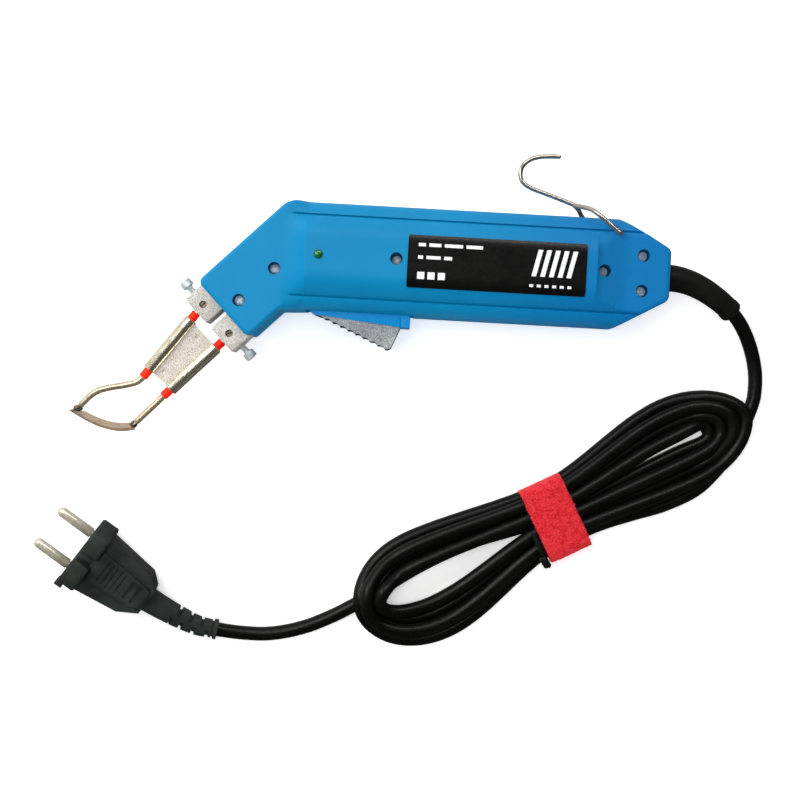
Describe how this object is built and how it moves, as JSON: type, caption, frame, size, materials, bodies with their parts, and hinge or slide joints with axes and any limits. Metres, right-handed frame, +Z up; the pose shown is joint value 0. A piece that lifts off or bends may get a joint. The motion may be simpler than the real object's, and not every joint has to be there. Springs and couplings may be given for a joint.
{
  "type": "hot wire cutter",
  "caption": "Hand-held hot knife for rope and fabric: heated curved blade on two rods, trigger grip with transformer, hanging hook and tied mains cord with plug.",
  "frame": {"origin": "on the side face that the tool rests on, at mid-housing on the grip axis", "axes": "+X towards the cord end, +Y towards the hook side, +Z up from the surface that it rests on"},
  "size_m": [0.3381, 0.2348, 0.039],
  "materials": {
    "blue_shell": "satin moulded ABS with fine texture",
    "blue_trigger": "satin moulded plastic",
    "grey_pad": "mottled grey, fine moulded texture",
    "black_plastic": "satin",
    "red_plastic": "gloss",
    "label_film": "satin printed film",
    "green_lens": "clear tinted",
    "circuit_board": "varnished laminate",
    "zinc_screw": "bright zinc",
    "cast_nickel": "nickel on a cast, speckled face",
    "nickel_rod": "warm nickel, drawn",
    "blade_steel": "heat-toned, ground",
    "bracket_sheet": "rolled sheet, grainy",
    "red_sleeve": "matt silicone",
    "core_iron": "varnished laminations",
    "copper": "enamelled",
    "black_rubber": "satin rubber",
    "chrome_wire": "polished",
    "red_fabric": "looped nylon",
    "pin_nickel": "bright nickel plate"
  },
  "bodies": {
    "housing": {"housing_lower": "blue_shell", "housing_upper": "blue_shell", "housing_screws": "zinc_screw", "rating_label": "label_film", "indicator_lens": "green_lens", "lamp_board": "circuit_board", "terminal_block_a": "cast_nickel", "terminal_block_b": "cast_nickel", "block_grub_screws": "zinc_screw", "trigger_pin": "zinc_screw", "trigger_spring": "zinc_screw", "switch_body": "black_plastic", "transformer_core": "core_iron", "transformer_coil": "copper", "secondary_bar_a": "copper", "secondary_bar_b": "copper", "inner_wires": "black_rubber", "cord_clamp": "black_plastic", "cord_clamp_screws": "zinc_screw", "strain_relief": "black_rubber", "cord_lead": "black_rubber", "cord_hank": "black_rubber", "cord_tail": "black_rubber", "cord_tie": "red_fabric", "twist_tie": "black_plastic", "plug_body": "black_rubber", "plug_pins": "pin_nickel"},
    "trigger": {"trigger_carrier": "blue_trigger", "trigger_pad": "grey_pad"},
    "plunger": {"switch_plunger": "red_plastic"},
    "hook": {"hanging_hook": "chrome_wire"},
    "tip": {"tip_rod_upper": "nickel_rod", "tip_rod_lower": "nickel_rod", "blade": "blade_steel", "sleeve_upper": "red_sleeve", "sleeve_lower": "red_sleeve", "tip_bracket": "bracket_sheet"},
    "clamp_screw_a": {"clamp_screw_a": "zinc_screw"},
    "clamp_screw_b": {"clamp_screw_b": "zinc_screw"}
  },
  "joints": [
    {"name": "trigger_pull", "type": "hinge", "parent": "housing", "child": "trigger", "pos_m": [-0.061, -0.021, 0.019], "axis": [0, 0, 1], "range_deg": [0, 6], "stiffness_Nm_per_rad": 1.2, "springref_deg": -5.73},
    {"name": "plunger_press", "type": "slide", "parent": "housing", "child": "plunger", "axis": [0, 1, 0], "range_m": [0, 0.0022]},
    {"name": "hook_swing", "type": "hinge", "parent": "housing", "child": "hook", "pos_m": [0.0742, 0.017, 0.019], "axis": [0, 0, 1], "range_deg": [-130, 4]},
    {"name": "tip_release", "type": "slide", "parent": "housing", "child": "tip", "axis": [-0.7071, -0.7071, 0], "range_m": [0, 0.0125]},
    {"name": "clamp_screw_a_turn", "type": "hinge", "parent": "housing", "child": "clamp_screw_a", "pos_m": [-0.11985, -0.01732, 0.019], "axis": [-0.7071, 0.7071, 0], "continuous": true},
    {"name": "clamp_screw_b_turn", "type": "hinge", "parent": "housing", "child": "clamp_screw_b", "pos_m": [-0.0932, -0.04398, 0.019], "axis": [0.7071, -0.7071, 0], "continuous": true}
  ],
  "couplings": [
    {"joint": "plunger_press", "follows": "trigger_pull", "m_per_rad": 0.0208}
  ]
}
